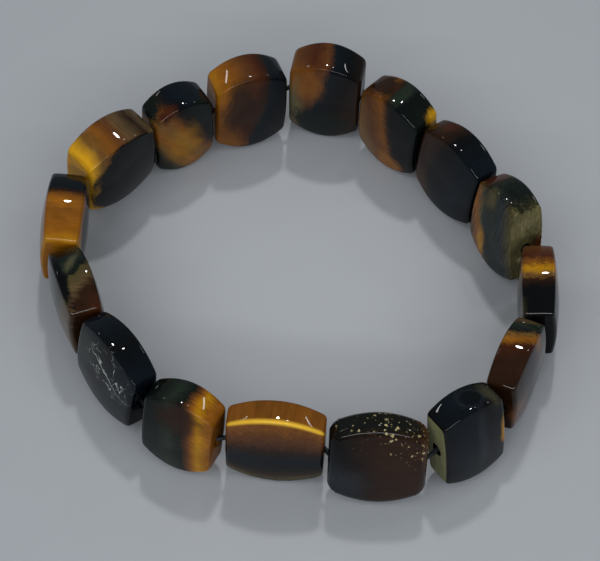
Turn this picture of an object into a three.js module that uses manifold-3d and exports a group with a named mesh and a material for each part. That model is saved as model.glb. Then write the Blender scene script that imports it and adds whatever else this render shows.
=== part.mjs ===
import * as THREE from 'three';
import { mergeVertices } from 'three/addons/utils/BufferGeometryUtils.js';
import Module from 'manifold-3d';

// Bracelet of sixteen flattened barrel beads, cut and polished from tiger's eye, on a closed elastic cord.
// Millimetres, +Z up. The ring lies on its side, so every bead stands on its narrow edge at z = 0.

const wasm = await Module();
wasm.setup();

// Driving dimensions of a bead
const endHeightShare = 0.70;      // height of an end face, as a share of the height at the middle
const endThicknessShare = 0.88;   // thickness at an end, as a share of the thickness at the middle
const faceCrown = 0.7;            // how far a broad face bulges beyond its long edges
const endCrown = 0.4;             // the same, at an end face
const edgeRound = 0.6;            // radius along the four long edges
const endRound = 0.5;             // depth of the rounding around an end face
const flatShare = 0.22;           // share of the length that is flat on top and underneath
const boreRadius = 0.9;
const boreSides = 12;

// Driving dimensions of the string of beads
const beadClearance = 0.1;        // each bead stops this far short of the plane between it and its neighbour
const cordRadius = 0.35;
const cordInset = 0.6;            // how far inside a bore the cord starts to bend
const cordSides = 8;
const cordSteps = 160;

// The beads, clockwise seen from above. corner is where the cord turns before the bead. height and
// thickness are taken at the bead's middle, lean tips its top inwards and tilt lifts its far end.
// aside is how far the bead has slipped outwards on the cord, and grow is the length that it has at its
// near and far end beyond the usual share. slant is the angle at which the far end is sawn back. ends and
// round stand in for endHeightShare and edgeRound where a bead is cut squarer or rounder than the others.
const beads = [
  { corner: [-3.0, 31.5], height: 16.5, thickness: 6.1, lean: 0, tilt: 0, aside: 0.6, grow: [0.4, 0.3], colour: 0x3a1f12 },
  { corner: [9.5, 29.5], height: 15.5, thickness: 5.8, lean: 0, tilt: 0, aside: -0.2, grow: [0, 0], colour: 0x3d2414 },
  { corner: [19.0, 21.0], height: 15.0, thickness: 4.8, lean: -5, tilt: 0, aside: 0, grow: [0, 0.1], colour: 0x15140f },
  { corner: [27.5, 11.0], height: 15.5, thickness: 5.2, lean: -5, tilt: 3, aside: 0, grow: [0.1, 0.2], slant: 12, colour: 0x2b2a1c },
  { corner: [34.5, -0.5], height: 14.5, thickness: 5.0, lean: 6.5, tilt: 0, aside: 0.6, grow: [0.7, 0.2], colour: 0x2a1e12 },
  { corner: [34.0, -14.0], height: 14.5, thickness: 4.8, lean: 4.5, tilt: 0, aside: -0.4, grow: [0.2, 0.2], colour: 0x231712 },
  { corner: [28.5, -26.5], height: 14.5, thickness: 5.0, lean: 12, tilt: 0, aside: 0.4, grow: [0.2, -0.35], ends: 0.8, colour: 0x12161b },
  { corner: [18.0, -33.5], height: 14.6, thickness: 4.6, lean: 16, tilt: 0, aside: 0.85, grow: [1.5, 0.1], round: 1.3, colour: 0x1c1713 },
  { corner: [4.5, -33.5], height: 14.5, thickness: 4.1, lean: 5, tilt: 0, aside: -0.6, grow: [-0.1, 0.05], colour: 0x6b420f },
  { corner: [-10.0, -32.4], height: 14.0, thickness: 5.0, lean: 11, tilt: 0, aside: 0.3, grow: [0.15, 0.2], colour: 0x452a10 },
  { corner: [-21.0, -27.5], height: 14.5, thickness: 4.6, lean: 9, tilt: 2, aside: -0.2, grow: [0.2, 0.1], colour: 0x10151a },
  { corner: [-30.3, -16.0], height: 14.5, thickness: 5.3, lean: 0, tilt: 0, aside: -0.5, grow: [0.1, 0], colour: 0x2c261a },
  { corner: [-35.2, -4.0], height: 14.5, thickness: 5.7, lean: 6, tilt: 0, aside: 0.2, grow: [0.1, 0.5], colour: 0x7a4811 },
  { corner: [-35.2, 10.5], height: 15.0, thickness: 6.4, lean: 5, tilt: 0, aside: 0.1, grow: [0.1, 0.1], colour: 0x5c3f12 },
  { corner: [-24.6, 20.7], height: 15.0, thickness: 5.7, lean: 0, tilt: 0, aside: -0.3, grow: [-0.1, 0], colour: 0x4a3515 },
  { corner: [-15.5, 26.5], height: 15.5, thickness: 6.0, lean: -3, tilt: -3, aside: -0.3, grow: [0, 0.15], colour: 0x3d2012 },
];

// Half of a bead's outline across the cord, from the bottom round its outer side to the top
function halfSection(halfThickness, halfHeight, round, crown) {
  const points = [];
  const corner = (degrees, centreY, centreZ) => {
    const angle = THREE.MathUtils.degToRad(degrees);
    points.push([centreY + round * Math.cos(angle), centreZ + round * Math.sin(angle)]);
  };
  const centreY = halfThickness - round;
  const centreZ = halfHeight - round;
  for (const degrees of [-90, -45, 0]) corner(degrees, centreY, -centreZ);
  for (const rise of [-0.55, 0, 0.55]) {
    points.push([halfThickness + crown * (1 - rise * rise), rise * centreZ]);
  }
  for (const degrees of [0, 45, 90]) corner(degrees, centreY, centreZ);
  return points;
}

// The stations along a bead, with how far each outline is drawn in by the rounding of the end
function beadStations(length) {
  const reach = length / 2;
  const half = [
    { x: flatShare * reach, inset: 0 },
    { x: 0.62 * reach, inset: 0 },
    { x: reach - endRound, inset: 0 },
    { x: reach - 0.3 * endRound, inset: 0.3 * endRound },
    { x: reach, inset: endRound },
  ];
  const mirrored = half.map(({ x, inset }) => ({ x: -x, inset })).reverse();
  return [...mirrored, ...half];
}

// A bead without its bore: long axis along X, thickness along Y, height along Z
function beadBlank({ height, thickness, ends = endHeightShare, round = edgeRound }, length) {
  const positions = [];
  const stations = beadStations(length);
  for (const { x, inset } of stations) {
    const along = 2 * x / length;
    const middleShare = (1 - along ** 2) / (1 - flatShare ** 2);
    const heightHere = THREE.MathUtils.lerp(ends, 1, middleShare) * height;
    const thicknessHere = THREE.MathUtils.lerp(endThicknessShare, 1, middleShare) * thickness;
    const crown = THREE.MathUtils.lerp(endCrown, faceCrown, middleShare);
    const half = halfSection(thicknessHere / 2 - inset, heightHere / 2 - inset, round, crown);
    for (const [y, z] of half) positions.push(x, y, z);
    for (const [y, z] of half) positions.push(x, -y, -z);
  }
  const ringSize = positions.length / 3 / stations.length;
  const indices = [];
  for (let station = 0; station < stations.length - 1; station++) {
    for (let side = 0; side < ringSize; side++) {
      const here = station * ringSize + side;
      const beside = station * ringSize + (side + 1) % ringSize;
      indices.push(here, beside, here + ringSize, here + ringSize, beside, beside + ringSize);
    }
  }
  const lastRing = (stations.length - 1) * ringSize;
  for (let side = 1; side < ringSize - 1; side++) {
    indices.push(0, side + 1, side);
    indices.push(lastRing, lastRing + side, lastRing + side + 1);
  }
  const geometry = new THREE.BufferGeometry();
  geometry.setAttribute('position', new THREE.Float32BufferAttribute(positions, 3));
  geometry.setIndex(indices);
  return geometry;
}

function toSolid(geometry) {
  const bare = geometry.clone();
  bare.deleteAttribute('normal');
  bare.deleteAttribute('uv');
  const merged = mergeVertices(bare);
  return new wasm.Manifold(new wasm.Mesh({
    numProp: 3,
    vertProperties: new Float32Array(merged.attributes.position.array),
    triVerts: new Uint32Array(merged.index.array),
  }));
}

function toGeometry(solid) {
  const mesh = solid.getMesh();
  const geometry = new THREE.BufferGeometry();
  geometry.setAttribute('position', new THREE.BufferAttribute(mesh.vertProperties, 3));
  geometry.setIndex(new THREE.BufferAttribute(mesh.triVerts, 1));
  geometry.computeVertexNormals();
  return geometry;
}

// What the saw takes off a far end that is cut back from its bottom edge
function sawnOff({ height, slant }, length) {
  const angle = THREE.MathUtils.degToRad(slant);
  const waste = new THREE.BoxGeometry(height, 2 * height, 3 * height);
  waste.rotateY(-angle);
  waste.translate(
    length / 2 + Math.cos(angle) * height / 2,
    0,
    -endHeightShare * height / 2 + Math.sin(angle) * height / 2,
  );
  return toSolid(waste);
}

// A finished bead: the blank with a straight bore along its long axis
function beadGeometry(bead, length) {
  const bore = new THREE.CylinderGeometry(boreRadius, boreRadius, length + 2, boreSides);
  bore.rotateZ(Math.PI / 2);
  const blank = toSolid(beadBlank(bead, length));
  const shaped = bead.slant ? blank.subtract(sawnOff(bead, length)) : blank;
  return toGeometry(shaped.subtract(toSolid(bore)));
}

// Where each bead sits: its heading along the cord, its length between its neighbours and its centre
function threadBeads() {
  const corners = beads.map(({ corner }) => new THREE.Vector2(...corner));
  const count = beads.length;
  const runs = corners.map((corner, i) => corners[(i + 1) % count].clone().sub(corner));
  const headings = runs.map((run) => Math.atan2(run.y, run.x));
  const turnAfter = (i) => {
    const turn = headings[(i + count) % count] - headings[(i + 1) % count];
    return THREE.MathUtils.euclideanModulo(turn, 2 * Math.PI);
  };
  return beads.map((bead, i) => {
    const lean = THREE.MathUtils.degToRad(bead.lean);
    const tilt = THREE.MathUtils.degToRad(bead.tilt);
    const halfEndHeight = (bead.ends ?? endHeightShare) * bead.height / 2;
    const halfEndThickness = endThicknessShare * bead.thickness / 2 + endCrown;
    const inwardReach = halfEndThickness * Math.cos(lean) + halfEndHeight * Math.abs(Math.sin(lean));
    const tiltReach = halfEndHeight * Math.abs(Math.sin(tilt));
    const setback = (turn) => beadClearance + tiltReach + inwardReach * Math.tan(turn / 2);
    const before = setback(turnAfter(i - 1)) - bead.grow[0];
    const after = setback(turnAfter(i)) - bead.grow[1];
    const length = runs[i].length() - before - after;
    const along = runs[i].clone().normalize();
    const outwards = new THREE.Vector2(-along.y, along.x);
    const centre = corners[i].clone()
      .addScaledVector(along, before + length / 2)
      .addScaledVector(outwards, bead.aside);
    return { lean, tilt, length, centre, heading: headings[i] };
  });
}

function beadMesh(bead, place, number) {
  const geometry = beadGeometry(bead, place.length);
  const material = new THREE.MeshStandardMaterial({ color: bead.colour, roughness: 0.12, metalness: 0 });
  const mesh = new THREE.Mesh(geometry, material);
  mesh.name = `bead_${String(number).padStart(2, '0')}`;
  mesh.rotation.set(place.lean, -place.tilt, place.heading, 'ZYX');
  const turned = geometry.clone().applyMatrix4(new THREE.Matrix4().makeRotationFromEuler(mesh.rotation));
  turned.computeBoundingBox();
  mesh.position.set(place.centre.x, place.centre.y, -turned.boundingBox.min.z);
  mesh.updateMatrixWorld();
  return mesh;
}

// The cord runs straight through every bore and turns in the gaps between the beads
function cordMesh(beadMeshes, places) {
  const route = beadMeshes.flatMap((mesh, i) => {
    const reach = places[i].length / 2 - cordInset;
    return [-reach, 0, reach].map((x) => mesh.localToWorld(new THREE.Vector3(x, 0, 0)));
  });
  const path = new THREE.CatmullRomCurve3(route, true, 'centripetal');
  const geometry = new THREE.TubeGeometry(path, cordSteps, cordRadius, cordSides, true);
  const material = new THREE.MeshStandardMaterial({ color: 0x1b1b1b, roughness: 0.5, metalness: 0 });
  const mesh = new THREE.Mesh(geometry, material);
  mesh.name = 'elastic_cord';
  return mesh;
}

const bracelet = new THREE.Group();
const places = threadBeads();
const beadMeshes = beads.map((bead, i) => beadMesh(bead, places[i], i + 1));
bracelet.add(...beadMeshes, cordMesh(beadMeshes, places));

// The origin stands on the surface, under the middle of the ring
const middle = new THREE.Box3().setFromObject(bracelet, true).getCenter(new THREE.Vector3());
bracelet.position.set(-middle.x, -middle.y, 0);

export default bracelet;
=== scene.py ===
import math

import bmesh
import bpy
from mathutils import Euler, Matrix, Vector


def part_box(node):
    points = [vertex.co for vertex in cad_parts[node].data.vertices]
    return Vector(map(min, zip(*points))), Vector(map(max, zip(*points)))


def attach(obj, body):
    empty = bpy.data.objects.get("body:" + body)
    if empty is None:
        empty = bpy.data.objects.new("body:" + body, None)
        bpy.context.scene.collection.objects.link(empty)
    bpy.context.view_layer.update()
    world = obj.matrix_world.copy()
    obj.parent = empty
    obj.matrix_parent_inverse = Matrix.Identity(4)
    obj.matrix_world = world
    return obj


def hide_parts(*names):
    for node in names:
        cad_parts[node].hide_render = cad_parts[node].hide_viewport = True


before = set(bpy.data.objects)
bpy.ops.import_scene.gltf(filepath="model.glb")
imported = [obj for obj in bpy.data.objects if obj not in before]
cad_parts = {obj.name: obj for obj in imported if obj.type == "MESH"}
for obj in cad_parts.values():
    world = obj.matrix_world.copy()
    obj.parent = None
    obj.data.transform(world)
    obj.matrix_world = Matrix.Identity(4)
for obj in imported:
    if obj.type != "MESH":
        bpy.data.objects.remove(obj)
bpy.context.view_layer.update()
mm = 0.001
scene = bpy.context.scene


def deselectAll():
    bpy.ops.object.select_all(action="DESELECT")


def makeActive(piece):
    deselectAll()
    piece.select_set(True)
    bpy.context.view_layer.objects.active = piece


def applyModifier(piece, kind, **settings):
    makeActive(piece)
    modifier = piece.modifiers.new(kind.title(), kind)
    for name, value in settings.items():
        setattr(modifier, name, value)
    bpy.ops.object.modifier_apply(modifier=modifier.name)


# in edit mode: the edges whose two ends pass the test
def selectEdges(piece, test):
    bpy.ops.mesh.select_all(action="DESELECT")
    bpy.context.tool_settings.mesh_select_mode = (False, True, False)
    mesh = bmesh.from_edit_mesh(piece.data)
    for edge in mesh.edges:
        if test(edge.verts[0].co, edge.verts[1].co):
            edge.select_set(True)
    bmesh.update_edit_mesh(piece.data)


# in edit mode: the faces whose middle passes the test
def selectFaces(piece, test):
    bpy.ops.mesh.select_all(action="DESELECT")
    bpy.context.tool_settings.mesh_select_mode = (False, False, True)
    mesh = bmesh.from_edit_mesh(piece.data)
    for face in mesh.faces:
        if test(face.calc_center_median()):
            face.select_set(True)
    bmesh.update_edit_mesh(piece.data)


def blend(low, high, share):
    return low + (high - low) * share


# Beads: sizes and places

beadShape = {
    "endHeightShare": 0.70,      # height of an end face, as a share of the height at the middle
    "endThicknessShare": 0.88,
    "faceCrown": 0.64 * mm,      # how far a broad face bulges beyond its long edges
    "endCrown": 0.4 * mm,
    "topFall": 0.13 * mm,        # how far the narrow faces fall away towards the long edges
    "edgeRound": 0.6 * mm,
    "boreRadius": 0.9 * mm,
    "boreFlare": 0.16 * mm,      # small chamfer round each end of the bore
    "boreSides": 32,
    "clearance": 0.1 * mm,       # from a bead to the plane between it and its neighbour
    "cutsAlong": 13,
    "cutsUp": 9,
    "cutsAcross": 3,
    "edgeSteps": 3,
    "smoothing": 2,
    "waviness": 0.05 * mm,       # how uneven the polish left the faces
    "waveLength": 5.0 * mm,
    "polishLoss": 1.15,          # above 1 the unevenness only takes stone away
    "smoothAngle": 35,           # degrees, sharper edges than this stay crisp
}


def beadRow(corner, height, thickness, lean, aside, grow, **others):
    return {"corner": corner, "height": height, "thickness": thickness,
            "lean": lean, "aside": aside, "grow": grow, **others}


# The beads, clockwise seen from above, in mm and degrees. corner is where the cord turns before
# the bead, lean tips its top inwards and tilt lifts its far end. aside is how far it has slipped
# outwards on the cord, and grow is what its near and far end have beyond the usual share. ends and
# round stand in for endHeightShare and edgeRound where a bead is cut squarer or rounder.
beads = [
    beadRow((-3.0, 31.5), 16.5, 6.1, lean=0, aside=0.6, grow=(0.4, 0.3)),
    beadRow((9.5, 29.5), 15.5, 5.8, lean=0, aside=-0.2, grow=(0, 0)),
    beadRow((19.0, 21.0), 15.0, 4.8, lean=-5, aside=0, grow=(0, 0.1)),
    beadRow((27.5, 11.0), 15.5, 5.2, lean=-5, aside=0, grow=(0.1, 0.2), tilt=3, slant=12),
    beadRow((34.5, -0.5), 14.5, 5.0, lean=6.5, aside=0.6, grow=(0.7, 0.2)),
    beadRow((34.0, -14.0), 14.5, 4.8, lean=4.5, aside=-0.4, grow=(0.2, 0.2)),
    beadRow((28.5, -26.5), 14.5, 5.0, lean=12, aside=0.4, grow=(0.2, -0.35), ends=0.8),
    beadRow((18.0, -33.5), 14.6, 4.6, lean=16, aside=0.85, grow=(1.5, 0.1), round=1.3),
    beadRow((4.5, -33.5), 14.5, 4.1, lean=5, aside=-0.6, grow=(-0.1, 0.05)),
    beadRow((-10.0, -32.4), 14.0, 5.0, lean=11, aside=0.3, grow=(0.15, 0.2)),
    beadRow((-21.0, -27.5), 14.5, 4.6, lean=9, aside=-0.2, grow=(0.2, 0.1), tilt=2),
    beadRow((-30.3, -16.0), 14.5, 5.3, lean=0, aside=-0.5, grow=(0.1, 0)),
    beadRow((-35.2, -4.0), 14.5, 5.7, lean=6, aside=0.2, grow=(0.1, 0.5)),
    beadRow((-35.2, 10.5), 15.0, 6.4, lean=5, aside=0.1, grow=(0.1, 0.1)),
    beadRow((-24.6, 20.7), 15.0, 5.7, lean=0, aside=-0.3, grow=(-0.1, 0)),
    beadRow((-15.5, 26.5), 15.5, 6.0, lean=-3, aside=-0.3, grow=(0, 0.15), tilt=-3),
]


# Where each bead sits: heading along the cord, length between its neighbours, and centre
def threadBeads():
    count = len(beads)
    corners = [Vector(bead["corner"]) * mm for bead in beads]
    runs = [corners[(i + 1) % count] - corners[i] for i in range(count)]
    headings = [math.atan2(run.y, run.x) for run in runs]

    def turnAfter(i):
        return (headings[i % count] - headings[(i + 1) % count]) % (2 * math.pi)

    places = []
    for i, bead in enumerate(beads):
        lean, tilt = math.radians(bead["lean"]), math.radians(bead.get("tilt", 0))
        ends = bead.get("ends", beadShape["endHeightShare"])
        halfEndHeight = ends * bead["height"] * mm / 2
        endThickness = beadShape["endThicknessShare"] * bead["thickness"] * mm
        halfEndThickness = endThickness / 2 + beadShape["endCrown"]
        inwardReach = halfEndThickness * math.cos(lean) + halfEndHeight * abs(math.sin(lean))
        common = beadShape["clearance"] + halfEndHeight * abs(math.sin(tilt))
        before, after = (
            common + inwardReach * math.tan(turn / 2) - extra * mm
            for turn, extra in zip((turnAfter(i - 1), turnAfter(i)), bead["grow"]))
        length = runs[i].length - before - after
        along = runs[i].normalized()
        outwards = Vector((-along.y, along.x))
        places.append({
            "name": f"bead_{i + 1:02d}",
            "slot": f"stone_{i + 1:02d}",
            "length": length,
            "thickness": bead["thickness"] * mm,
            "height": bead["height"] * mm,
            "slant": math.radians(bead.get("slant", 0)),
            "ends": ends,
            "round": bead.get("round", 0) * mm or beadShape["edgeRound"],
            "plan": corners[i] + along * (before + length / 2) + outwards * bead["aside"] * mm,
            "turn": Euler((lean, -tilt, headings[i])),
        })

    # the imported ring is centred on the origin, so the plan is shifted as its first bead is
    low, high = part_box(places[0]["name"])
    shift = ((low + high) / 2).xy - places[0]["plan"]
    for place in places:
        low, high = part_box(place["name"])
        place["centre"] = (place["plan"] + shift).to_3d() + Vector((0, 0, (low.z + high.z) / 2))
    return places, shift


places, ringShift = threadBeads()


# Camera

cameraView = {
    "distance": 273.2 * mm,
    "elevation": 55.0,      # degrees above the floor
    "roll": 1.91,           # degrees
    "lens": 108.0,
    "sensor": 36.0,         # its width in mm
    "nearest": 0.01,
}


def addCamera():
    elevation = math.radians(cameraView["elevation"])
    back = Vector((0.0, -math.cos(elevation), math.sin(elevation)))
    level = Matrix((Vector((1, 0, 0)), back.cross(Vector((1, 0, 0))), back)).transposed()
    turn = level @ Matrix.Rotation(math.radians(cameraView["roll"]), 3, "Z")
    bpy.ops.object.camera_add(location=ringShift.to_3d() + back * cameraView["distance"])
    camera = bpy.context.object
    camera.name = "camera"
    camera.rotation_euler = turn.to_euler()
    camera.data.lens = cameraView["lens"]
    camera.data.sensor_width = cameraView["sensor"]
    camera.data.sensor_fit = "HORIZONTAL"
    camera.data.clip_start = cameraView["nearest"]
    scene.camera = camera


deselectAll()
addCamera()
print("camera in place")


# Beads: modelling. One plain bead of average size, its length along X and its height along Z

beadSides = ("length", "thickness", "height")
patternSize = {
    "length": 12.0 * mm,
    "thickness": 5.2 * mm,
    "height": 14.8 * mm,
}


def modelPatternBead(ends, edgeRound):
    length, thickness, height = (patternSize[side] for side in beadSides)
    deselectAll()
    bpy.ops.mesh.primitive_cube_add(size=1, location=(0, 0, 0))
    bead = bpy.context.object
    bead.name = "pattern_bead"
    bpy.ops.transform.resize(value=(length, thickness, height))
    bpy.ops.object.transform_apply(location=False, rotation=False, scale=True)
    bpy.ops.object.mode_set(mode="EDIT")
    for axis, cuts in ((0, "cutsAlong"), (1, "cutsAcross"), (2, "cutsUp")):
        selectEdges(bead, lambda a, b: abs(a[axis] - b[axis]) > 0.1 * mm)
        bpy.ops.mesh.subdivide(number_cuts=beadShape[cuts])

    # an edge of the block lies on two of its sides at once
    def isOuterEdge(a, b):
        sides = 0
        for axis, size in enumerate((length, thickness, height)):
            sides += all(abs(abs(point[axis]) - size / 2) < 0.001 * mm for point in (a, b))
        return sides >= 2

    selectEdges(bead, isOuterEdge)
    bpy.ops.mesh.bevel(offset=edgeRound, segments=beadShape["edgeSteps"], affect="EDGES")
    bpy.ops.object.mode_set(mode="OBJECT")

    # the arch of the narrow faces and the bulge of the broad ones
    for vertex in bead.data.vertices:
        point = vertex.co
        along = 2 * point.x / length
        middleShare = max(0.0, 1 - along ** 2)
        rise = min(1.0, abs(point.z) / (height / 2 - edgeRound))
        crown = blend(beadShape["endCrown"], beadShape["faceCrown"], middleShare) * (1 - rise ** 2)
        side = 2 * point.y / thickness
        point.y = point.y * blend(beadShape["endThicknessShare"], 1, middleShare) + side * crown
        point.z *= blend(ends, 1, middleShare)
        point.z -= math.copysign(beadShape["topFall"] * side ** 2 * rise ** 4, point.z)
    applyModifier(bead, "SUBSURF", levels=beadShape["smoothing"], render_levels=beadShape["smoothing"])
    return bead


# The drill that cuts the bore, with a flare where it meets the end faces
def modelDrill():
    flare, radius = beadShape["boreFlare"], beadShape["boreRadius"]
    shaft = patternSize["length"] - 2 * flare
    deselectAll()
    bpy.ops.mesh.primitive_cylinder_add(
        vertices=beadShape["boreSides"], radius=radius, depth=shaft, end_fill_type="NGON",
        location=(0, 0, 0), rotation=(0, math.pi / 2, 0))
    drill = bpy.context.object
    drill.name = "drill"
    bpy.ops.object.transform_apply(location=False, rotation=True, scale=False)
    bpy.ops.object.mode_set(mode="EDIT")
    reach = 1.5 * flare     # the cone runs on past the end face, and a straight end clears it
    widen = 1 + reach / radius
    for side in (-1, 1):
        selectFaces(drill, lambda middle: side * middle.x > shaft / 2 - 0.01 * mm)
        bpy.ops.mesh.extrude_region_move(TRANSFORM_OT_translate={"value": (side * reach, 0, 0)})
        bpy.ops.transform.resize(value=(1, widen, widen))
        bpy.ops.mesh.extrude_region_move(TRANSFORM_OT_translate={"value": (side * 1.0 * mm, 0, 0)})
    bpy.ops.object.mode_set(mode="OBJECT")
    return drill


# Saws the far end back at a slant from its bottom edge
def sawFarEnd(bead, place):
    slant = place["slant"]
    edge = Vector((place["length"] / 2, 0, -beadShape["endHeightShare"] * place["height"] / 2))
    makeActive(bead)
    bpy.ops.object.mode_set(mode="EDIT")
    bpy.ops.mesh.select_all(action="SELECT")
    bpy.ops.mesh.bisect(plane_co=edge, plane_no=(math.cos(slant), 0, math.sin(slant)),
                        use_fill=True, clear_outer=True)
    bpy.ops.object.mode_set(mode="OBJECT")


# The sawn face is one large polygon, which looks plane only when it isn't smoothed
def flattenSawnFace(bead, place):
    slant = place["slant"]
    sawDirection = place["turn"].to_matrix() @ Vector((math.cos(slant), 0, math.sin(slant)))
    for face in bead.data.polygons:
        if len(face.vertices) > 8 and face.normal.dot(sawDirection) > 0.9:
            face.use_smooth = False


# A copy with its own mesh, stretched from the pattern's size to the place's
def copyBead(source, place):
    bead = source.copy()
    bead.data = source.data.copy()
    bead.name = bead.data.name = "stone_" + place["name"]
    scene.collection.objects.link(bead)
    bead.data.transform(Matrix.Diagonal([place[side] / patternSize[side] for side in beadSides] + [1]))
    return bead


patterns = {}
for place in places:
    cut = place["ends"], place["round"]
    if cut not in patterns:
        patterns[cut] = modelPatternBead(*cut)
drill = modelDrill()
unevenness = bpy.data.textures.new("polish_unevenness", "CLOUDS")
unevenness.noise_scale = beadShape["waveLength"]
unevenness.noise_depth = 1

stoneBeads = []
for place in places:
    stone = copyBead(patterns[place["ends"], place["round"]], place)
    if place["slant"]:
        sawFarEnd(stone, place)
    ownDrill = copyBead(drill, {**patternSize, "name": place["name"], "length": place["length"]})
    applyModifier(stone, "BOOLEAN", object=ownDrill, operation="DIFFERENCE", solver="EXACT")
    bpy.data.objects.remove(ownDrill)
    stone.data.transform(Matrix.Translation(place["centre"]) @ place["turn"].to_matrix().to_4x4())
    applyModifier(stone, "DISPLACE", texture=unevenness, texture_coords="LOCAL",
                  strength=beadShape["waviness"], mid_level=beadShape["polishLoss"])
    makeActive(stone)
    bpy.ops.object.shade_smooth_by_angle(angle=math.radians(beadShape["smoothAngle"]))
    if place["slant"]:
        flattenSawnFace(stone, place)
    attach(stone, "root")
    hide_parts(place["name"])
    stoneBeads.append(stone)
for piece in (*patterns.values(), drill):
    bpy.data.objects.remove(piece)
print(len(stoneBeads), "beads modelled,", len(stoneBeads[0].data.polygons), "faces each")


# Elastic cord

cordShape = {
    "radius": 0.35 * mm,
    "inset": 0.6 * mm,      # how far inside a bore the cord starts to bend
    "bendSteps": 8,
    "roundSteps": 3,
}


def modelCord():
    curve = bpy.data.curves.new("elastic_cord_curve", "CURVE")
    curve.dimensions = "3D"
    curve.resolution_u = cordShape["bendSteps"]
    curve.bevel_depth = cordShape["radius"]
    curve.bevel_resolution = cordShape["roundSteps"]
    route = []
    for place in places:
        reach = place["length"] / 2 - cordShape["inset"]
        for x in (-reach, 0, reach):
            route.append(place["centre"] + place["turn"].to_matrix() @ Vector((x, 0, 0)))
    line = curve.splines.new("BEZIER")
    line.use_cyclic_u = True
    line.bezier_points.add(len(route) - 1)
    for knot, point in zip(line.bezier_points, route):
        knot.co = point
        knot.handle_left_type = knot.handle_right_type = "AUTO"
    cord = bpy.data.objects.new("cord_elastic", curve)
    scene.collection.objects.link(cord)
    makeActive(cord)
    bpy.ops.object.convert(target="MESH")
    bpy.ops.object.shade_smooth()
    return bpy.context.object


cord = modelCord()
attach(cord, "root")
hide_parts("elastic_cord")
print("cord modelled")


# Small helpers for node trees

def fill(tree, node, inputs):
    for socket, value in inputs.items():
        if isinstance(value, bpy.types.NodeSocket):
            tree.links.new(value, node.inputs[socket])
        else:
            node.inputs[socket].default_value = value
    return node


def addNode(tree, kind, inputs=None, **settings):
    node = tree.nodes.new("ShaderNode" + kind)
    for name, value in settings.items():
        setattr(node, name, value)
    return fill(tree, node, inputs or {})


def number(tree, operation, *values, clamp=False):
    node = addNode(tree, "Math", operation=operation, use_clamp=clamp)
    return fill(tree, node, dict(enumerate(values))).outputs[0]


def times(tree, *values):
    return number(tree, "MULTIPLY", *values)


def plus(tree, *values):
    return number(tree, "ADD", *values)


def vector(tree, operation, *values):
    node = addNode(tree, "VectorMath", operation=operation)
    fill(tree, node, dict(enumerate(values)))
    return node.outputs["Value" if operation in ("LENGTH", "DOT_PRODUCT", "DISTANCE") else "Vector"]


# soft step from 0 at low to 1 at high; low may be the larger
def softStep(tree, value, low, high):
    node = addNode(tree, "MapRange", {0: value, 1: low, 2: high, 3: 0.0, 4: 1.0},
                   interpolation_type="SMOOTHSTEP")
    return node.outputs[0]


def mixColour(tree, share, under, over, how="MIX"):
    node = addNode(tree, "Mix", data_type="RGBA", blend_type=how)
    return fill(tree, node, {0: share, 6: under, 7: over}).outputs[2]


# inputs have the values that stand in when nothing is given: a number, or else a vector or None
def newGroup(name, inputs, outputs):
    group = bpy.data.node_groups.new(name, "ShaderNodeTree")
    for socketName, value in inputs.items():
        kind = "Float" if isinstance(value, float) else "Vector"
        socket = group.interface.new_socket(name=socketName, in_out="INPUT", socket_type="NodeSocket" + kind)
        if value is not None:
            socket.default_value = value
    for socketName, kind in outputs.items():
        group.interface.new_socket(name=socketName, in_out="OUTPUT", socket_type="NodeSocket" + kind)
    start, end = group.nodes.new("NodeGroupInput"), group.nodes.new("NodeGroupOutput")
    return group, start.outputs, end


def useGroup(tree, group, inputs):
    node = tree.nodes.new("ShaderNodeGroup")
    node.node_tree = group
    return fill(tree, node, inputs).outputs


# Shared effects

# From coordinates that run from -1 to 1 over a bead's box to coordinates that follow its arch, so
# that the long edges lie at 1 and -1 all along
def makeBeadSpace():
    group, given, end = newGroup(
        "bead_space", {"Vector": None, "End Height": 0.7}, {"Vector": "Vector"})
    parts = addNode(group, "SeparateXYZ", {0: given["Vector"]}).outputs
    square = times(group, parts["X"], parts["X"])
    middleShare = number(group, "SUBTRACT", 1.0, square, clamp=True)
    across = number(group, "MULTIPLY_ADD", middleShare, 1 - beadShape["endThicknessShare"],
                    beadShape["endThicknessShare"])
    up = number(group, "MULTIPLY_ADD", middleShare, number(group, "SUBTRACT", 1.0, given["End Height"]),
                given["End Height"])
    joined = addNode(group, "CombineXYZ", {
        "X": parts["X"], "Y": number(group, "DIVIDE", parts["Y"], across),
        "Z": number(group, "DIVIDE", parts["Z"], up)})
    fill(group, end, {"Vector": joined.outputs[0]})
    return group


# Silky fibres along X of the given coordinates, which are in mm: fine threads and broader ripples
def makeSilk():
    group, given, end = newGroup(
        "silk_fibres", {"Vector": None, "Seed": 0.0},
        {"Threads": "Float", "Ripples": "Float", "Clouds": "Float"})

    def noise(stretch, scale, detail):
        drawn = vector(group, "MULTIPLY", given["Vector"], stretch)
        return addNode(group, "TexNoise", {
            "Vector": drawn, "W": given["Seed"], "Scale": scale, "Detail": detail, "Roughness": 0.6},
            noise_dimensions="4D").outputs[0]

    threads = noise((0.10, 1.0, 1.0), 3.2, 3.0)
    ripples = noise((0.22, 1.0, 1.0), 0.9, 2.0)
    clouds = noise((0.6, 1.0, 1.0), 0.28, 2.0)
    fill(group, end, {
        "Threads": softStep(group, threads, 0.28, 0.72),
        "Ripples": softStep(group, ripples, 0.25, 0.75),
        "Clouds": softStep(group, clouds, 0.25, 0.75)})
    return group


# A value from 0 to 1 turned into a swing about 0, half the amount each way
def swing(tree, value, amount):
    return times(tree, number(tree, "SUBTRACT", value, 0.5), amount)


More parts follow.
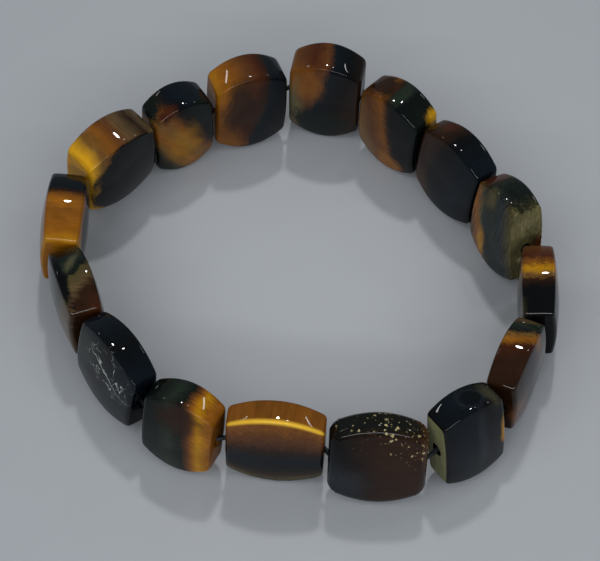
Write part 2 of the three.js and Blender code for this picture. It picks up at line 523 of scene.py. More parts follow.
# How far a border wanders: a slow drift by Wobble each way, and fraying along the threads by Fray
def borderShift(group, given, scale):
    drift = addNode(group, "TexNoise", {
        "Vector": given["Vector"], "W": given["Seed"], "Scale": scale, "Detail": 2.0}, noise_dimensions="4D")
    fray = swing(group, given["Threads"], given["Fray"])
    return number(group, "MULTIPLY_ADD", swing(group, drift.outputs[0], given["Wobble"]), 2.0, fray)


# Where a point lies along its bead's colour bands: a plane's distance, with wandering borders
def makeBandPlace():
    group, given, end = newGroup(
        "band_place",
        {"Vector": None, "Across": (1, 0, 0), "Seed": 0.0, "Wobble": 0.25, "Fray": 0.12, "Threads": 0.5},
        {"Band": "Float"})
    plane = vector(group, "DOT_PRODUCT", given["Vector"], given["Across"])
    fill(group, end, {"Band": plus(group, plane, borderShift(group, given, 0.9))})
    return group


# A soft-edged patch: 1 inside the unit ball of the given coordinates, with a wandering border
def makePatch():
    group, given, end = newGroup(
        "stone_patch",
        {"Vector": None, "Edge": 0.4, "Strength": 1.0, "Seed": 0.0,
         "Wobble": 0.5, "Threads": 0.5, "Fray": 0.3},
        {"Mask": "Float"})
    distance = vector(group, "LENGTH", given["Vector"])
    reach = plus(group, distance, borderShift(group, given, 1.3))
    outer = plus(group, 1.0, given["Edge"])
    inner = number(group, "SUBTRACT", 1.0, given["Edge"])
    mask = times(group, softStep(group, reach, outer, inner), given["Strength"])
    fill(group, end, {"Mask": mask})
    return group


# How near a point is to the bead's long edges, 1 on them and 0 from Width mm off
def makeEdgeLine():
    group, given, end = newGroup(
        "edge_line",
        {"Vector": None, "Half Size": (6, 2.5, 7), "Width": 0.6},
        {"Mask": "Float"})
    folded = vector(group, "ABSOLUTE", given["Vector"])
    parts = addNode(group, "SeparateXYZ", {0: vector(group, "SUBTRACT", folded, (1, 1, 1))}).outputs
    flat = addNode(group, "CombineXYZ", {"Y": parts["Y"], "Z": parts["Z"]}).outputs[0]
    away = vector(group, "LENGTH", vector(group, "MULTIPLY", flat, given["Half Size"]))
    fill(group, end, {"Mask": softStep(group, away, given["Width"], 0.25)})
    return group


# The sawn end faces, less polished than the rest: 1 on them
def makeSawnEnds():
    group, given, end = newGroup(
        "sawn_ends",
        {"Vector": None, "Slant": 0.0, "Reach": 0.985},
        {"Far": "Float", "Near": "Float"})
    parts = addNode(group, "SeparateXYZ", {0: given["Vector"]}).outputs
    far = number(group, "SUBTRACT", number(group, "MULTIPLY_ADD", parts["Z"], given["Slant"], parts["X"]),
                 given["Reach"])
    near = number(group, "SUBTRACT", times(group, parts["X"], -1.0), 0.985)
    fill(group, end, {
        "Far": softStep(group, far, -0.012, 0.004), "Near": softStep(group, near, -0.012, 0.004)})
    return group


# Moves coordinates by a noise colour, up to half the amount each way
def shake(tree, coordinates, noise, amount):
    shift = vector(tree, "MULTIPLY", vector(tree, "SUBTRACT", noise, (0.5, 0.5, 0.5)), (amount,) * 3)
    return vector(tree, "ADD", coordinates, shift)


# Small bright mineral specks, in coordinates in mm, with Size as a share of Spacing
def makeSpecks():
    group, given, end = newGroup(
        "mineral_specks",
        {"Vector": None, "Spacing": 1.0, "Size": 0.2}, {"Mask": "Float"})
    bent = addNode(group, "TexNoise", {"Vector": given["Vector"], "Scale": 4.5, "Detail": 2.0})
    moved = shake(group, given["Vector"], bent.outputs["Color"], 0.6)
    cells = addNode(group, "TexVoronoi", {
        "Vector": moved, "Scale": number(group, "DIVIDE", 1.0, given["Spacing"]), "Randomness": 1.0})
    chance = addNode(group, "SeparateColor", {0: cells.outputs["Color"]}).outputs
    size = times(group, given["Size"], number(group, "POWER", chance[0], 1.6))
    mask = softStep(group, cells.outputs["Distance"], size, times(group, size, 0.55))
    fill(group, end, {"Mask": mask})
    return group


# Thin branching veins, in coordinates in mm, with Width as a share of Spacing
def makeVeins():
    group, given, end = newGroup(
        "quartz_veins",
        {"Vector": None, "Spacing": 2.0, "Width": 0.05}, {"Mask": "Float"})
    bent = addNode(group, "TexNoise", {"Vector": given["Vector"], "Scale": 0.9, "Detail": 3.0})
    moved = shake(group, given["Vector"], bent.outputs["Color"], 2.6)
    cells = addNode(group, "TexVoronoi", {
        "Vector": moved, "Scale": number(group, "DIVIDE", 1.0, given["Spacing"]), "Randomness": 1.0},
        feature="DISTANCE_TO_EDGE")
    line = softStep(group, cells.outputs["Distance"], given["Width"], 0.0)
    broken = addNode(group, "TexNoise", {"Vector": given["Vector"], "Scale": 1.1, "Detail": 2.0}).outputs[0]
    fill(group, end, {"Mask": times(group, line, softStep(group, broken, 0.42, 0.62))})
    return group


# Polish: slightly uneven roughness, with a few faint rubbed lines
def makePolish():
    group, given, end = newGroup(
        "stone_polish", {"Vector": None, "Roughness": 0.32},
        {"Roughness": "Float", "Height": "Float"})
    clouds = addNode(group, "TexNoise", {"Vector": given["Vector"], "Scale": 0.7, "Detail": 3.0}).outputs[0]
    drawn = vector(group, "MULTIPLY", given["Vector"], (0.35, 2.2, 1.1))
    rubbed = addNode(group, "TexNoise", {"Vector": drawn, "Scale": 4.0, "Detail": 2.0}).outputs[0]
    fill(group, end, {
        "Roughness": plus(group, given["Roughness"], swing(group, clouds, 0.22)), "Height": rubbed})
    return group


beadSpace, silkFibres, bandPlace, stonePatch = makeBeadSpace(), makeSilk(), makeBandPlace(), makePatch()
edgeLine, sawnEnds, mineralSpecks, quartzVeins = makeEdgeLine(), makeSawnEnds(), makeSpecks(), makeVeins()
stonePolish = makePolish()
print("shared effects ready")


# Stone colours

palette = {
    "jet": "08090b", "ink": "0c141c", "slate": "262c32", "greenBlack": "0e1512", "moss": "222b23",
    "olive": "494327", "khaki": "6b6648", "umber": "2b190e", "mahogany": "43200f", "chestnut": "5a351a",
    "rust": "784916", "tan": "765427", "amber": "8f5814", "honey": "b5800f", "gold": "d69e1c",
    # in the next row, the pale yellow after gold is no stone colour but a painted highlight, for bead 9's
    # ridge
    "paintedHighlight": "f2c03c", "drab": "5a4830", "sage": "8c8c66", "cream": "b9ab80", "pearl": "b9c0bd",
}


def colour(name):
    channels = [int(palette[name][i:i + 2], 16) / 255 for i in (0, 2, 4)]
    linear = [c / 12.92 if c <= 0.04045 else ((c + 0.055) / 1.055) ** 2.4 for c in channels]
    return (*linear, 1.0)


# A patch of colour in bead space: its middle, its half size and how soft its border is. turn is in
# degrees, and of a ring only the rim shows.
def colourPatch(name, at, size, edge, strength=1.0, fray=0.3, turn=0, ring=False):
    return {"colour": name, "at": at, "size": size, "edge": edge,
            "strength": strength, "fray": fray, "turn": turn, "ring": ring}


# The look of each bead. Places are in bead space: x runs from -1 to 1 along the cord, y from the
# inner to the outer face and z up. across is the direction that the bands follow each other in,
# bands are (place, colour) pairs, grain is the way the silk runs, and patches lie over the bands.
# The golden bands are partly the stone's own colour and partly painted sheen, where the silk would shine.
stoneLooks = [
    {  # 1: red-brown into blue-black
        "across": (1, 0, -0.45), "grain": (0.2, 0, 1), "wobble": 0.15, "fray": 0.12,
        "bands": [(-1.5, "rust"), (-1.1, "chestnut"), (-0.8, "mahogany"), (-0.45, "chestnut"),
                  (-0.26, "ink"), (0.2, "jet"), (1.0, "umber"), (1.4, "jet")],
        "patches": [
            colourPatch("rust", (-0.65, -1.1, 0.55), (0.55, 0.6, 0.45), 0.5),
            colourPatch("khaki", (-1.0, -1.1, -0.25), (0.36, 0.6, 0.8), 0.6, strength=0.9),
            colourPatch("greenBlack", (-0.1, -1.2, -0.55), (0.7, 0.5, 0.5), 0.4)],
    },
    {  # 2: amber band on green-black
        "across": (1, 0, 0.33), "grain": (1, 0, -0.5), "wobble": 0.12, "fray": 0.16,
        "bands": [(-1.5, "rust"), (-0.9, "tan"), (-0.4, "chestnut"), (0.05, "rust"), (0.22, "umber"),
                  (0.36, "jet"), (1.2, "greenBlack")],
        "patches": [
            colourPatch("umber", (-0.6, 0.1, 1.25), (0.75, 1.6, 0.35), 0.25),
            colourPatch("moss", (0.1, 0.1, 1.1), (0.2, 1.2, 0.3), 0.5),
            colourPatch("gold", (1.05, 0.75, 0.95), (0.22, 0.7, 0.35), 0.4),
            colourPatch("amber", (0.2, -1.1, -0.85), (0.42, 0.6, 0.35), 0.5),
            colourPatch("tan", (-0.7, -1.1, -0.75), (0.45, 0.6, 0.4), 0.5)],
    },
    {  # 3: nearly black
        "across": (1, 0, -0.35), "grain": (0.3, 0, 1), "wobble": 0.2, "fray": 0.2,
        "bands": [(-1.5, "umber"), (-0.7, "umber"), (-0.35, "jet"), (0.5, "ink"), (1.3, "jet")],
        "patches": [
            colourPatch("mahogany", (-0.55, 0.2, 1.1), (0.22, 0.6, 0.25), 0.6, strength=0.8),
            colourPatch("chestnut", (-0.75, -1.1, -0.7), (0.3, 0.5, 0.4), 0.7, strength=0.4)],
    },
    {  # 4: grey-green fibres and an amber band, with a matt sawn end
        "across": (1, 0, 0.35), "grain": (0.12, 0, 1), "wobble": 0.16, "fray": 0.22, "silk": 0.55,
        "farEnd": "khaki", "farMatt": 1.0,
        "bands": [(-1.5, "umber"), (-1.0, "chestnut"), (-0.82, "rust"), (-0.6, "amber"), (-0.44, "olive"),
                  (-0.3, "greenBlack"), (0.15, "moss"), (0.4, "slate"), (0.75, "olive"), (1.3, "khaki")],
        "patches": [
            colourPatch("mahogany", (-0.9, 0.1, 1.1), (0.4, 1.4, 0.25), 0.4),
            colourPatch("greenBlack", (0.1, 0.2, 1.15), (0.6, 1.3, 0.25), 0.3, strength=0.85),
            colourPatch("olive", (-0.32, -1.1, 0.78), (0.2, 0.5, 0.25), 0.6),
            colourPatch("honey", (-0.36, -1.1, -0.5), (0.14, 0.5, 0.32), 0.7),
            colourPatch("olive", (0.75, 0.3, -0.05), (0.2, 0.8, 0.3), 0.7),
            colourPatch("cream", (0.6, -0.2, 0.62), (0.14, 0.5, 0.16), 0.8, strength=0.3),
            colourPatch("cream", (0.85, -0.15, -0.28), (0.16, 0.4, 0.1), 0.5),
            colourPatch("mahogany", (0.95, 1.0, -0.3), (0.3, 0.7, 0.7), 0.4)],
    },
    {  # 5: golden band on red-brown, then black
        "across": (1, 0, 0), "grain": (0.1, 1, 0.6), "wobble": 0.12, "fray": 0.12,
        "bands": [(-1.2, "mahogany"), (-0.85, "chestnut"), (-0.5, "mahogany"), (-0.28, "rust"),
                  (-0.1, "honey"), (0.06, "tan"), (0.2, "umber"), (0.42, "jet"), (1.2, "jet")],
        "patches": [
            colourPatch("olive", (0.8, -1.1, 0.7), (0.25, 0.5, 0.25), 0.6),
            colourPatch("slate", (0.0, -1.2, 0.1), (0.8, 0.4, 0.7), 0.5, strength=0.7)],
    },
    {  # 6: grey-green start, golden band, dark red
        "across": (1, 0.15, 0), "grain": (0.1, 1, 0.6), "wobble": 0.16, "fray": 0.14,
        "bands": [(-1.3, "slate"), (-0.9, "drab"), (-0.75, "moss"), (-0.5, "greenBlack"), (-0.32, "tan"),
                  (-0.16, "amber"), (0.02, "mahogany"), (0.4, "umber"), (1.0, "umber"), (1.4, "jet")],
        "patches": [
            colourPatch("slate", (-0.1, 1.25, 0.2), (0.8, 0.5, 0.7), 0.5, strength=0.8),
            colourPatch("chestnut", (0.75, 1.2, -0.3), (0.4, 0.5, 0.5), 0.5)],
    },
    {  # 7: blue-black with faint arcs, khaki far end
        "across": (1, 0, 0), "grain": (0.1, 0, 1), "wobble": 0.3, "fray": 0.2,
        "farEnd": "sage", "farMatt": 0.7,
        "bands": [(-1.3, "ink"), (-0.4, "jet"), (0.3, "ink"), (1.0, "jet")],
        "patches": [
            colourPatch("slate", (-0.15, 0.1, 1.0), (0.42, 0.75, 0.3), 0.16, ring=True, strength=0.6),
            colourPatch("honey", (-1.0, 1.1, 0.0), (0.16, 0.6, 0.42), 0.5),
            colourPatch("slate", (-0.2, 1.2, 0.0), (0.16, 0.4, 0.8), 0.8, strength=0.6),
            colourPatch("khaki", (-0.75, 0.2, 1.1), (0.2, 0.9, 0.3), 0.7, strength=0.3)],
    },
    {  # 8: black-brown with bright specks
        "across": (-1, 0, 0.2), "grain": (1, 0, 0.1), "wobble": 0.3, "fray": 0.15, "specks": True,
        "bands": [(-1.3, "ink"), (-0.7, "jet"), (0.1, "umber"), (0.9, "umber"), (1.3, "chestnut")],
        "patches": [
            colourPatch("slate", (0.75, 1.2, -0.45), (0.5, 0.5, 0.45), 0.6, strength=0.7),
            colourPatch("greenBlack", (0.1, 0.2, 1.2), (1.1, 1.3, 0.45), 0.4, strength=0.85)],
        "edge": {"colour": "khaki", "where": "lower"},
    },
    {  # 9: golden top with a painted highlight along its upper outer edge, fading to blue-black
        "across": (0, 0, 1), "grain": (0.05, 1, 0), "wobble": 0.12, "fray": 0.1, "silk": 0.35,
        "bands": [(-1.2, "umber"), (-0.98, "jet"), (-0.86, "olive"), (-0.7, "umber"), (-0.5, "jet"),
                  (-0.1, "ink"), (0.15, "umber"), (0.5, "chestnut"), (0.88, "rust"), (1.1, "rust"),
                  (1.25, "amber")],
        "patches": [],
        # painted highlight: a bright line along the ridge where the silk and the lamp shine
        "edge": {"colour": "paintedHighlight", "where": "upper"},
    },
    {  # 10: green-black into amber
        "across": (1, 0, -0.1), "grain": (1, 0.1, 0.15), "wobble": 0.25, "fray": 0.12,
        "nearEnd": "rust",
        "bands": [(-1.3, "rust"), (-0.9, "amber"), (-0.65, "honey"), (-0.5, "amber"), (-0.38, "chestnut"),
                  (-0.22, "greenBlack"), (0.1, "moss"), (0.5, "greenBlack"), (1.2, "jet")],
        "patches": [
            colourPatch("umber", (-0.05, 1.15, 0.6), (0.6, 0.5, 0.35), 0.5, strength=0.9)],
    },
    {  # 11: blue-black with pale veins
        "across": (1, 0, 0.3), "grain": (0.2, 0, 1), "wobble": 0.3, "fray": 0.2, "veins": True,
        "bands": [(-1.3, "jet"), (-0.5, "ink"), (0.2, "jet"), (0.9, "ink"), (1.4, "jet")],
        "patches": [
            colourPatch("moss", (0.7, 1.2, 0.45), (0.5, 0.5, 0.4), 0.6, strength=0.7)],
    },
    {  # 12: green-grey with a brown patch
        "across": (1, 0.3, 0), "grain": (0.3, 1, 0.2), "wobble": 0.35, "fray": 0.15,
        "bands": [(-1.4, "mahogany"), (-0.85, "umber"), (-0.65, "umber"), (-0.4, "drab"), (-0.08, "olive"),
                  (0.02, "greenBlack"), (0.45, "moss"), (0.9, "jet")],
        "patches": [
            colourPatch("khaki", (0.35, -0.1, 1.05), (0.12, 0.6, 0.2), 0.7, turn=25, strength=0.45),
            colourPatch("jet", (-0.1, 0.8, 1.0), (0.7, 0.35, 0.3), 0.4),
            colourPatch("drab", (-0.55, 1.15, -0.4), (0.35, 0.5, 0.7), 0.5)],
    },
    {  # 13: amber body, blue-black far end and inner face
        "across": (1, 0, 0), "grain": (0.05, 1, 0.2), "wobble": 0.12, "fray": 0.08, "silk": 0.3,
        "nearEnd": "amber",
        "bands": [(-1.3, "gold"), (-1.1, "honey"), (-0.75, "amber"), (-0.3, "rust"), (-0.05, "amber"),
                  (0.1, "rust"), (0.22, "umber"), (0.34, "ink"), (1.2, "jet")],
        "patches": [
            colourPatch("ink", (0.0, -1.55, -0.2), (1.9, 0.6, 1.5), 0.12, fray=0.08)],
    },
    {  # 14: golden near end into grey-brown, black inner face
        "across": (1, 0, 0), "grain": (0.05, 1, 0.2), "wobble": 0.18, "fray": 0.1, "silk": 0.35,
        "nearEnd": "honey",
        "bands": [(-1.2, "gold"), (-0.85, "gold"), (-0.6, "tan"), (-0.3, "rust"), (-0.05, "chestnut"),
                  (0.35, "drab"), (0.65, "umber"), (0.85, "drab"), (1.2, "umber")],
        "patches": [
            colourPatch("jet", (0.32, -1.15, -0.1), (1.2, 0.33, 1.5), 0.12, fray=0.08)],
    },
    {  # 15: golden-brown face under a blue-black top
        "across": (1, 0, 0.9), "grain": (1, 0, -0.8), "wobble": 0.16, "fray": 0.14, "silk": 0.35,
        "bands": [(-1.7, "jet"), (-1.35, "greenBlack"), (-1.1, "moss"), (-0.85, "tan"), (-0.5, "amber"),
                  (-0.1, "tan"), (0.2, "rust"), (0.42, "umber"), (0.62, "jet"), (1.6, "ink")],
        "patches": [
            colourPatch("ink", (0.3, 0.2, 1.2), (1.0, 1.6, 0.28), 0.2),
            colourPatch("greenBlack", (0.75, -1.1, 0.7), (0.55, 0.5, 0.45), 0.35),
            colourPatch("greenBlack", (-0.9, 0.5, 1.1), (0.5, 1.2, 0.35), 0.3),
            colourPatch("mahogany", (-0.55, -0.9, 1.0), (0.3, 0.5, 0.22), 0.5),
            colourPatch("honey", (-0.15, -1.15, -0.15), (0.5, 0.5, 0.5), 0.8, strength=0.5)],
    },
    {  # 16: amber and red-brown into black
        "across": (1, 0, -0.33), "grain": (0.3, 0, 1), "wobble": 0.14, "fray": 0.14,
        "nearEnd": "rust",
        "bands": [(-1.5, "honey"), (-1.15, "amber"), (-0.85, "rust"), (-0.5, "chestnut"),
                  (-0.1, "mahogany"), (0.1, "umber"), (0.24, "ink"), (1.0, "jet")],
        "patches": [
            colourPatch("umber", (-0.3, -1.1, 0.3), (0.5, 0.5, 0.65), 0.5, strength=0.9),
            colourPatch("rust", (-0.6, -1.1, -0.9), (0.4, 0.6, 0.4), 0.5)],
    },
]

stoneFinish = {
    "silk": 0.28,             # how strongly the fibres show
    "threads": 0.6,           # share of fine threads in the silk, the rest are ripples
    "darkStreak": 0.25,       # what the darkest and the brightest streak make of the colour
    "brightStreak": 1.75,
    "clouds": 0.35,           # how strongly the depth of colour varies
    "bandReach": 2.0,         # the bands' places run from minus this to this
    "ringHole": 1.3,          # how many times wider a ring patch is than its hole
    "seedStep": 3.7,          # from one bead's seed to the next
    "edgeWidth": 0.85,        # of a coloured edge, such as bead 9's painted ridge highlight, in mm
    "endPaint": 0.8,          # how fully a sawn end takes its own colour
    "endMatt": 0.45,          # how much polish a sawn end lacks
    "roughness": 0.34,        # under the polish
    "mattRoughness": 0.3,     # what a wholly matt end adds to it
    "polishRoughness": 0.015,
    "stoneIor": 1.54,
    "polishIor": 1.31,
    "sheen": 0.15,            # how metallic the brightest silk looks
    "dullRed": 0.05,          # the sheen grows from this redness of the colour to the next
    "goldenRed": 0.6,
    "bumpStrength": 0.5,
    "bumpDistance": 0.004 * mm,
}

# spacing in mm and size as a share of it; the specks thin out downwards and, by slope, towards the
# far end
speckSpread = {
    "slope": -0.55,
    "fewest": 0.1,
    "coarse": {"spacing": 0.75, "size": 0.38},
    "fine": {"spacing": 0.5, "size": 0.3},
}

# spacing in mm and width as a share of it; at, size and edge are those of the region in bead space
# that holds the veins, and one longer crack crosses it
veinSpread = {
    "spacing": 3.2,
    "width": 0.04,
    "at": (-0.25, 1.1, 0.35),
    "size": (0.65, 0.8, 0.5),
    "edge": 0.5,
    "crackAcross": (0.36, 0.0, -0.93),
    "crackPlace": 0.006,
    "crackWander": 0.6,
    "crackWidth": 0.022,
    "crackStrength": 0.8,
}


# Coordinates that are 0 at the location and run along the rotation, 1 at the scale
def placeAt(tree, source, location, scale, rotation=(0, 0, 0)):
    return addNode(tree, "Mapping", {
        "Vector": source, "Location": location, "Rotation": rotation, "Scale": scale},
        vector_type="TEXTURE").outputs[0]


def inMillimetres(tree, here):
    return addNode(tree, "Mapping", {"Vector": here, "Scale": (1 / mm,) * 3}).outputs[0]


# The colour bands; the golden ones also hold painted sheen of the silk
def bandPaint(tree, look, inBead, silk, seed):
    band = useGroup(tree, bandPlace, {
        "Vector": inBead, "Across": look["across"], "Seed": seed, "Wobble": look["wobble"],
        "Fray": look["fray"], "Threads": silk["Threads"]})["Band"]
    scale = 1 / (2 * stoneFinish["bandReach"])
    ramp = addNode(tree, "ValToRGB", {0: number(tree, "MULTIPLY_ADD", band, scale, 0.5)})
    stops = ramp.color_ramp.elements
    while len(stops) < len(look["bands"]):
        stops.new(1.0)
    for stop, (where, name) in zip(stops, look["bands"]):
        stop.position = where * scale + 0.5
        stop.color = colour(name)
    return ramp.outputs[0]


# The sawn ends' own colours, and how matt a point is
def endPaint(tree, look, paint, boxed, place):
    slant = math.tan(place["slant"]) * place["height"] / place["length"]
    ends = useGroup(tree, sawnEnds, {
        "Vector": boxed, "Slant": slant, "Reach": 1 - slant * beadShape["endHeightShare"] - 0.015})
    far = times(tree, ends["Far"], look.get("farMatt", stoneFinish["endMatt"]))
    near = times(tree, ends["Near"], stoneFinish["endMatt"])
    for side, key in (("Far", "farEnd"), ("Near", "nearEnd")):
        if key in look:
            share = times(tree, ends[side], stoneFinish["endPaint"])
            paint = mixColour(tree, share, paint, colour(look[key]))
    return paint, number(tree, "ADD", far, near, clamp=True)


def patchMask(tree, patch, inBead, silk, seed):
    turn = (0, 0, math.radians(patch["turn"]))
    middle = placeAt(tree, inBead, patch["at"], patch["size"], turn)
    shared = {"Edge": patch["edge"], "Fray": patch["fray"], "Seed": seed, "Threads": silk["Threads"]}
    mask = useGroup(tree, stonePatch, {**shared, "Vector": middle, "Strength": patch["strength"]})["Mask"]
    if patch["ring"]:
        shrunk = vector(tree, "MULTIPLY", middle, (stoneFinish["ringHole"],) * 3)
        inner = useGroup(tree, stonePatch, {**shared, "Vector": shrunk})["Mask"]
        mask = times(tree, mask, number(tree, "SUBTRACT", 1.0, inner))
    return mask


# Depth of colour, then the silk
def silkPaint(tree, look, paint, silk):
    clouds = softStep(tree, silk["Clouds"], -0.4, 1.0)
    paint = mixColour(tree, stoneFinish["clouds"], paint, clouds, "MULTIPLY")
    streaks = plus(tree, times(tree, silk["Threads"], stoneFinish["threads"]),
                   times(tree, silk["Ripples"], 1 - stoneFinish["threads"]))
    span = stoneFinish["brightStreak"] - stoneFinish["darkStreak"]
    streaks = number(tree, "MULTIPLY_ADD", streaks, span, stoneFinish["darkStreak"])
    return mixColour(tree, look.get("silk", stoneFinish["silk"]), paint, streaks, "MULTIPLY")


# A coloured stripe along the long edge on the outer side, either the upper or the lower one; on bead 9 the
# upper one is a painted highlight
def edgeMask(tree, where, inBead, place):
    line = useGroup(tree, edgeLine, {
        "Vector": inBead, "Width": stoneFinish["edgeWidth"],
        "Half Size": [place[side] / 2 / mm for side in beadSides]})["Mask"]
    parts = addNode(tree, "SeparateXYZ", {0: inBead}).outputs
    level = softStep(tree, parts["Z"], 0.0, 0.5 if where == "upper" else -0.5)
    outer = softStep(tree, parts["Y"], -0.3, 0.3)
    return times(tree, line, times(tree, level, outer))


def speckMask(tree, here, inBead, silk):
    plain = inMillimetres(tree, here)
    parts = addNode(tree, "SeparateXYZ", {0: inBead}).outputs
    field = plus(tree, times(tree, parts["X"], speckSpread["slope"]), parts["Z"])
    crowd = plus(tree, softStep(tree, field, 0.0, 1.1), speckSpread["fewest"])
    coarse, fine = (
        useGroup(tree, mineralSpecks, {
            "Vector": plain, "Spacing": kind["spacing"],
            "Size": times(tree, crowd, kind["size"])})["Mask"]
        for kind in (speckSpread["coarse"], speckSpread["fine"]))
    return times(tree, number(tree, "MAXIMUM", coarse, fine), softStep(tree, silk["Ripples"], -0.6, 0.8))


def veinMask(tree, here, inBead, seed):
    plain = inMillimetres(tree, here)
    veins = useGroup(tree, quartzVeins, {
        "Vector": plain, "Spacing": veinSpread["spacing"], "Width": veinSpread["width"]})["Mask"]
    middle = placeAt(tree, inBead, veinSpread["at"], veinSpread["size"])
    region = useGroup(tree, stonePatch, {
        "Vector": middle, "Edge": veinSpread["edge"], "Seed": seed})["Mask"]
    wander = addNode(tree, "TexNoise", {"Vector": plain, "Scale": 0.25, "Detail": 3.0}).outputs[0]
    wander = number(tree, "MULTIPLY_ADD", wander, veinSpread["crackWander"], veinSpread["crackPlace"])
    plane = vector(tree, "DOT_PRODUCT", inBead, veinSpread["crackAcross"])
    away = number(tree, "ABSOLUTE", plus(tree, plane, wander))
    crack = times(tree, softStep(tree, away, veinSpread["crackWidth"], 0.0), veinSpread["crackStrength"])
    return times(tree, number(tree, "MAXIMUM", veins, crack), region)


def stoneMaterial(beadNumber, look, place):
    material = bpy.data.materials.new(f"tigers_eye_{beadNumber:02d}")
    material.use_nodes = True
    tree = material.node_tree
    here = addNode(tree, "TexCoord").outputs["Object"]
    seed = beadNumber * stoneFinish["seedStep"]

    halfSize = [place[side] / 2 for side in beadSides]
    boxed = placeAt(tree, here, place["centre"], halfSize, place["turn"])
    inBead = useGroup(tree, beadSpace, {"Vector": boxed, "End Height": place["ends"]})["Vector"]
    grainTurn = place["turn"].to_quaternion() @ Vector(look["grain"]).to_track_quat("X", "Z")
    alongGrain = placeAt(tree, here, place["centre"], (mm, mm, mm), grainTurn.to_euler())
    silk = useGroup(tree, silkFibres, {"Vector": alongGrain, "Seed": seed})

    paint = bandPaint(tree, look, inBead, silk, seed)
    paint, matt = endPaint(tree, look, paint, boxed, place)
    for i, patch in enumerate(look["patches"]):
        mask = patchMask(tree, patch, inBead, silk, seed + i)
        paint = mixColour(tree, mask, paint, colour(patch["colour"]))
    paint = silkPaint(tree, look, paint, silk)
    # a coloured long edge; bead 9's is a painted highlight along its ridge
    if "edge" in look:
        mask = edgeMask(tree, look["edge"]["where"], inBead, place)
        paint = mixColour(tree, mask, paint, colour(look["edge"]["colour"]))
    if look.get("specks"):
        paint = mixColour(tree, speckMask(tree, here, inBead, silk), paint, colour("cream"))
    if look.get("veins"):
        paint = mixColour(tree, veinMask(tree, here, inBead, seed), paint, colour("pearl"))

    # the silk looks brightest where the stone is golden
    redness = addNode(tree, "SeparateColor", {0: paint}).outputs[0]
    golden = softStep(tree, redness, stoneFinish["dullRed"], stoneFinish["goldenRed"])
    sheen = times(tree, golden, stoneFinish["sheen"])
    polished = number(tree, "SUBTRACT", 1.0, matt)
    polish = useGroup(tree, stonePolish, {"Vector": alongGrain, "Roughness": stoneFinish["roughness"]})
    bump = addNode(tree, "Bump", {
        "Strength": stoneFinish["bumpStrength"], "Distance": stoneFinish["bumpDistance"],
        "Height": polish["Height"]})
    fill(tree, tree.nodes["Principled BSDF"], {
        "Base Color": paint,
        "Metallic": times(tree, sheen, polished),
        "Roughness": number(tree, "MULTIPLY_ADD", matt, stoneFinish["mattRoughness"], polish["Roughness"]),
        "Coat Weight": polished,
        "Normal": bump.outputs[0],
        "IOR": stoneFinish["stoneIor"],
        "Specular IOR Level": 0.0,      # all the gloss is the polish's
        "Coat IOR": stoneFinish["polishIor"],
        "Coat Roughness": stoneFinish["polishRoughness"],
    })
    return material


for beadNumber, (stone, look, place) in enumerate(zip(stoneBeads, stoneLooks, places), start=1):
    stone.data.materials.clear()
    stone.data.materials.append(stoneMaterial(beadNumber, look, place))
print(len(stoneLooks), "stones coloured")


# Elastic cord's finish: dark, satin and finely grained

cordFinish = {
    "grainScale": 6.0,          # per mm
    "roughness": 0.4,
    "roughnessSpread": 0.2,     # what the palest grain adds to it
    "bumpStrength": 0.4,
    "bumpDistance": 0.02 * mm,
}


def cordMaterial():
    material = bpy.data.materials.new("dark_elastic")
    material.use_nodes = True
    tree = material.node_tree
    here = inMillimetres(tree, addNode(tree, "TexCoord").outputs["Object"])
    grain = addNode(tree, "TexNoise", {
        "Vector": here, "Scale": cordFinish["grainScale"], "Detail": 3.0}).outputs[0]
    bump = addNode(tree, "Bump", {
        "Strength": cordFinish["bumpStrength"], "Distance": cordFinish["bumpDistance"], "Height": grain})
    fill(tree, tree.nodes["Principled BSDF"], {
        "Base Color": mixColour(tree, grain, colour("jet"), colour("slate")),
        "Normal": bump.outputs[0],
        "Roughness": number(tree, "MULTIPLY_ADD", grain, cordFinish["roughnessSpread"],
                            cordFinish["roughness"]),
    })
    return material


cord.data.materials.append(cordMaterial())


# Floor, lights and the air around

floorFinish = {
    "colour": (0.35, 0.37, 0.40, 1.0),
    "roughness": 0.45,
    "size": 3.0,
}

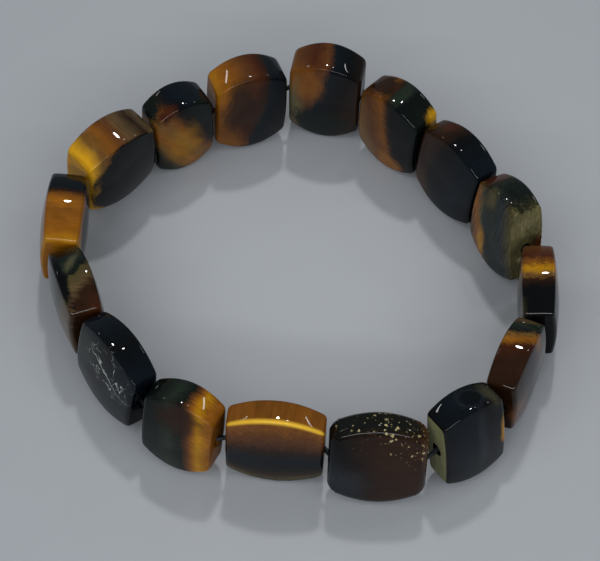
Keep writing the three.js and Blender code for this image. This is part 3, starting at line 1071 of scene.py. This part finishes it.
# place, size across and height in metres, power in watts; a light with no height is round
studioLights = {
    "soft_left": {"place": (-0.50, -0.35, 0.80), "size": 0.80, "power": 3.4},
    "soft_right": {"place": (0.55, -0.40, 0.75), "size": 0.80, "power": 2.6},
    "front_strip": {"place": (0.0, -0.82, 0.56), "size": 1.1, "height": 0.05, "power": 3.0},
    "left_strip": {"place": (-0.62, 0.50, 0.62), "size": 0.2, "height": 0.03, "power": 0.3},
    "right_strip": {"place": (0.62, 0.50, 0.62), "size": 0.2, "height": 0.03, "power": 0.3},
    "glint_lamp": {"place": (0.03, 0.62, 1.02), "size": 0.085, "power": 2.4},
    "small_glint_lamp": {"place": (0.30, 0.50, 1.05), "size": 0.035, "power": 0.35},
}

airAround = {
    "colour": (0.46, 0.52, 0.54, 1.0),
    "strength": 0.28,
}


def addFloor():
    deselectAll()
    bpy.ops.mesh.primitive_plane_add(size=floorFinish["size"], location=(0, 0, 0))
    floor = bpy.context.object
    floor.name = "floor"
    material = bpy.data.materials.new("pale_floor")
    material.use_nodes = True
    fill(material.node_tree, material.node_tree.nodes["Principled BSDF"], {
        "Base Color": floorFinish["colour"], "Roughness": floorFinish["roughness"]})
    floor.data.materials.append(material)


# All lights face the middle of the beads' height, in the middle of the ring
def addLights():
    aim = Vector((0, 0, 8 * mm))
    for name, light in studioLights.items():
        place = Vector(light["place"])
        bpy.ops.object.light_add(type="AREA", location=place)
        lamp = bpy.context.object
        lamp.name = name
        lamp.data.shape = "RECTANGLE" if "height" in light else "DISK"
        lamp.data.size = light["size"]
        lamp.data.size_y = light.get("height", light["size"])
        lamp.data.energy = light["power"]
        lamp.visible_glossy = not name.startswith("soft")   # the soft pair would show as pale panes
        lamp.rotation_euler = (aim - place).to_track_quat("-Z", "Y").to_euler()
    scene.world = scene.world or bpy.data.worlds.new("studio")
    scene.world.use_nodes = True
    air = scene.world.node_tree.nodes["Background"]
    fill(scene.world.node_tree, air, {"Color": airAround["colour"], "Strength": airAround["strength"]})
    scene.view_settings.view_transform = "Standard"


addFloor()
addLights()
print("floor and lights ready")
